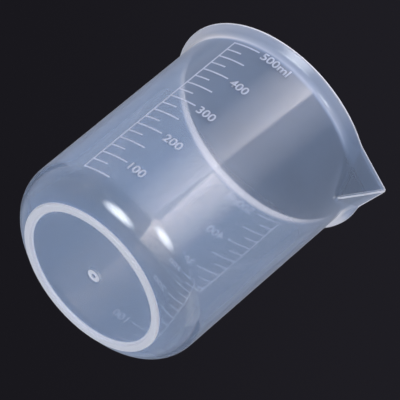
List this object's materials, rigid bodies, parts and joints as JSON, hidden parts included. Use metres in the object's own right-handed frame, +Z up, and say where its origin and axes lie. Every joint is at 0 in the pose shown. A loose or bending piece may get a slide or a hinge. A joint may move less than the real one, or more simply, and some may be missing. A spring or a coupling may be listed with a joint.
{
  "type": "measuring cup",
  "caption": "Translucent plastic beaker-shaped measuring cup with a flared rim, a pinched pouring spout, a foot ring and white printed volume scales.",
  "frame": {"origin": "on the standing plane, under the middle of the rim and spout together", "axes": "+Z up along the cup, +X towards the tip of the spout, the front scale faces -Y"},
  "size_m": [0.102, 0.093, 0.1055],
  "materials": {
    "polypropylene": "milky translucent moulded plastic, smooth and glossy",
    "white_ink": "thin white print, satin"
  },
  "bodies": {
    "root": {"cup_body": "polypropylene", "front_scale": "white_ink", "rear_scale": "white_ink"}
  },
  "joints": []
}
